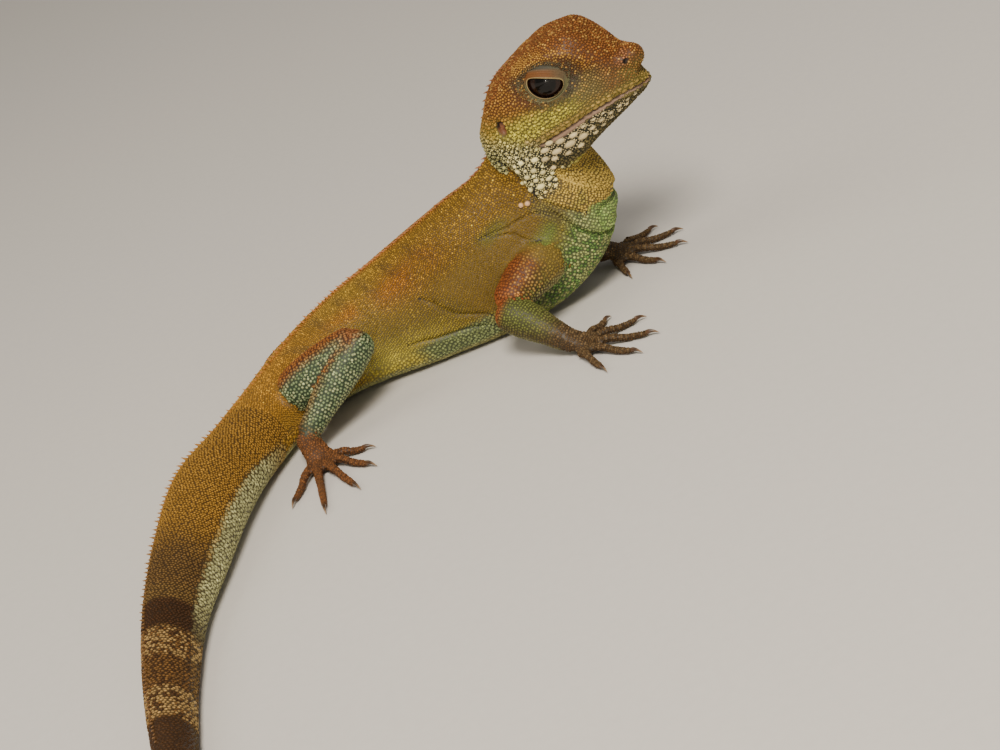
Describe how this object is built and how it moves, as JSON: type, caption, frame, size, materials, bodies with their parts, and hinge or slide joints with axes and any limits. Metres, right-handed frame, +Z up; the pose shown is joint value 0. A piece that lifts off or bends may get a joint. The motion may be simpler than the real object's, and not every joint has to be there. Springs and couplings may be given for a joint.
{
  "type": "chinese water dragon figure",
  "caption": "Life-size still model of a young green water dragon lizard, lying with its head raised, legs spread on the floor and its long tail laid in a curve.",
  "frame": {"origin": "the point where the middle of the belly rests on the floor", "axes": "+X forward along the trunk towards the head, +Y towards the animal's left side, +Z up from the floor"},
  "size_m": [0.1384, 0.3033, 0.0613],
  "materials": {
    "skin_head": "fine granular scales, satin, reddish brown above and olive below",
    "skin_jaw": "pale raised scales with dark skin between them, satin",
    "skin_trunk": "fine granular scales, satin, olive and ochre with green below",
    "skin_tail": "ringed keeled scales, satin, ochre turning to brown bands",
    "skin_limb": "small keeled scales, satin, green with rust above",
    "skin_foot": "small overlapping scales and horn claws, satin",
    "eye": "wet gloss, nearly black brown",
    "ear": "thin smooth skin over the ear opening"
  },
  "bodies": {
    "root": {"head": "skin_head", "lower_jaw": "skin_jaw", "eye_left": "eye", "eye_right": "eye", "ear_left": "ear", "ear_right": "ear", "neck": "skin_trunk", "chest": "skin_trunk", "belly": "skin_trunk", "pelvis": "skin_trunk", "tail_1": "skin_tail", "tail_2": "skin_tail", "tail_3": "skin_tail", "tail_4": "skin_tail", "tail_5": "skin_tail", "tail_6": "skin_tail", "upper_arm_right": "skin_limb", "forearm_right": "skin_limb", "hand_right": "skin_foot", "upper_arm_left": "skin_limb", "forearm_left": "skin_limb", "hand_left": "skin_foot", "thigh_right": "skin_limb", "shank_right": "skin_limb", "foot_right": "skin_foot", "thigh_left": "skin_limb", "shank_left": "skin_limb", "foot_left": "skin_foot"}
  },
  "joints": []
}
